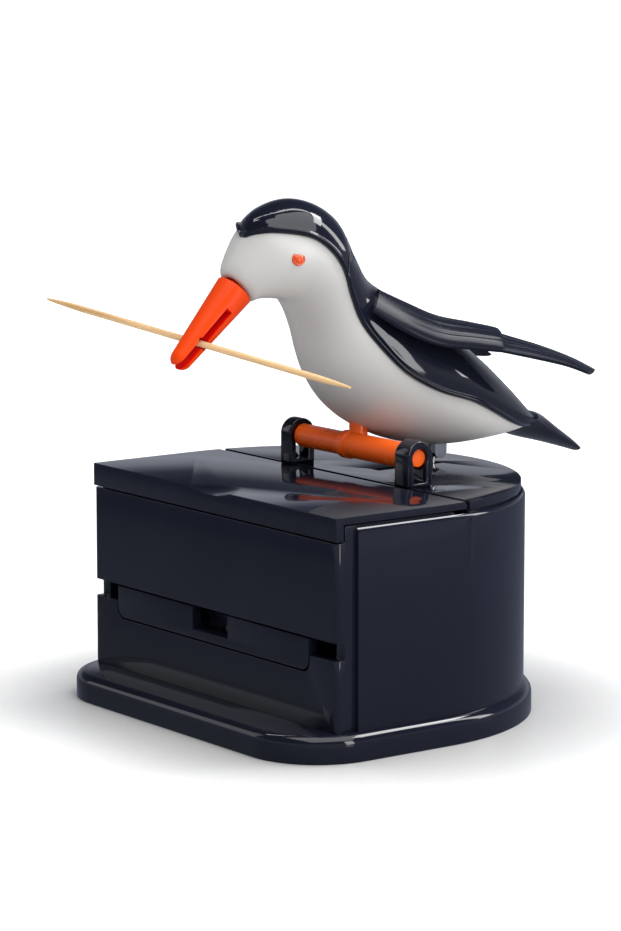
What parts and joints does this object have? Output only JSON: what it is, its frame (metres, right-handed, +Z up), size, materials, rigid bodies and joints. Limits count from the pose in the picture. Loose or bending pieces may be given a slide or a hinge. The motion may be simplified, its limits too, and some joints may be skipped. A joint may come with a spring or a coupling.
{
  "type": "toothpick dispenser",
  "caption": "Black D-shaped toothpick box with hinged lid, front slide tray and a nodding bird on an orange axle that holds a pick in its beak.",
  "frame": {"origin": "on the table, under the middle of the case's front face", "axes": "+X to the right seen from the front, +Y from the front face to the back, +Z up"},
  "size_m": [0.0748, 0.0931, 0.088],
  "materials": {
    "black_plastic": "high gloss black with a blue tint",
    "inner_plastic": "satin dark grey",
    "orange_plastic": "gloss orange",
    "white_plastic": "satin white",
    "wood": "plain birch",
    "steel": "bright wire"
  },
  "bodies": {
    "case": {"base_plate": "black_plastic", "base_screw_1": "steel", "base_screw_2": "steel", "base_screw_3": "steel", "base_screw_4": "steel", "case_shell": "black_plastic", "wrap_cover": "black_plastic", "rear_deck": "black_plastic", "ear_left": "black_plastic", "ear_right": "black_plastic", "hopper_chute": "inner_plastic", "tray_guides": "inner_plastic", "hinge_pin_left": "steel", "hinge_pin_right": "steel", "crank_stand": "inner_plastic", "crank_pin": "steel", "spring_post": "inner_plastic", "return_spring": "steel"},
    "lid": {"lid": "black_plastic"},
    "tray": {"pick_tray": "black_plastic"},
    "crank": {"bell_crank": "inner_plastic"},
    "bird": {"axle": "orange_plastic", "bird_mount": "white_plastic", "bird_shell_left": "white_plastic", "bird_shell_right": "white_plastic", "head_cap": "black_plastic", "back_shell": "black_plastic", "wing_left": "black_plastic", "wing_right": "black_plastic", "beak": "orange_plastic", "eye_left": "orange_plastic", "eye_right": "orange_plastic", "wire_lug": "steel"},
    "wire": {"pull_wire": "steel"},
    "beak_pick": {"held_pick": "wood"},
    "loose_pick_1": {"hopper_pick_1": "wood"},
    "loose_pick_2": {"hopper_pick_2": "wood"},
    "loose_pick_3": {"hopper_pick_3": "wood"}
  },
  "joints": [
    {"name": "bird_nod", "type": "hinge", "parent": "case", "child": "bird", "pos_m": [0, 0.03, 0.0448], "axis": [1, 0, 0], "range_deg": [0, 62], "stiffness_Nm_per_rad": 0.02, "springref_deg": -20.05},
    {"name": "lid_hinge", "type": "hinge", "parent": "case", "child": "lid", "pos_m": [0, 0.025, 0.0382], "axis": [1, 0, 0], "range_deg": [-62, 0]},
    {"name": "loose_pick_1_slide", "type": "slide", "parent": "case", "child": "loose_pick_1", "axis": [1, 0, 0], "range_m": [-0.0002, 0.0002]},
    {"name": "loose_pick_2_slide", "type": "slide", "parent": "case", "child": "loose_pick_2", "axis": [1, 0, 0], "range_m": [-0.0002, 0.0002]},
    {"name": "loose_pick_3_slide", "type": "slide", "parent": "case", "child": "loose_pick_3", "axis": [1, 0, 0], "range_m": [-0.0002, 0.0002]},
    {"name": "crank_turn", "type": "hinge", "parent": "case", "child": "crank", "pos_m": [0, 0.027, 0.0098], "axis": [1, 0, 0], "range_deg": [0, 62]},
    {"name": "tray_slide", "type": "slide", "parent": "case", "child": "tray", "axis": [0, -1, 0], "range_m": [0, 0.00752], "deforming": ["return_spring"]},
    {"name": "wire_swing", "type": "hinge", "parent": "bird", "child": "wire", "pos_m": [0, 0.048, 0.0423], "axis": [-1, 0, 0], "range_deg": [0, 62]},
    {"name": "pick_swivel", "type": "hinge", "parent": "bird", "child": "beak_pick", "pos_m": [0, -0.00288, 0.06512], "axis": [0, -0.4787, -0.878], "range_deg": [0, 18.7]}
  ],
  "couplings": [
    {"joint": "crank_turn", "follows": "bird_nod", "ratio": 1},
    {"joint": "tray_slide", "follows": "bird_nod", "m_per_rad": 0.006948},
    {"joint": "wire_swing", "follows": "bird_nod", "ratio": 1},
    {"joint": "pick_swivel", "follows": "bird_nod", "ratio": 0.30161}
  ]
}
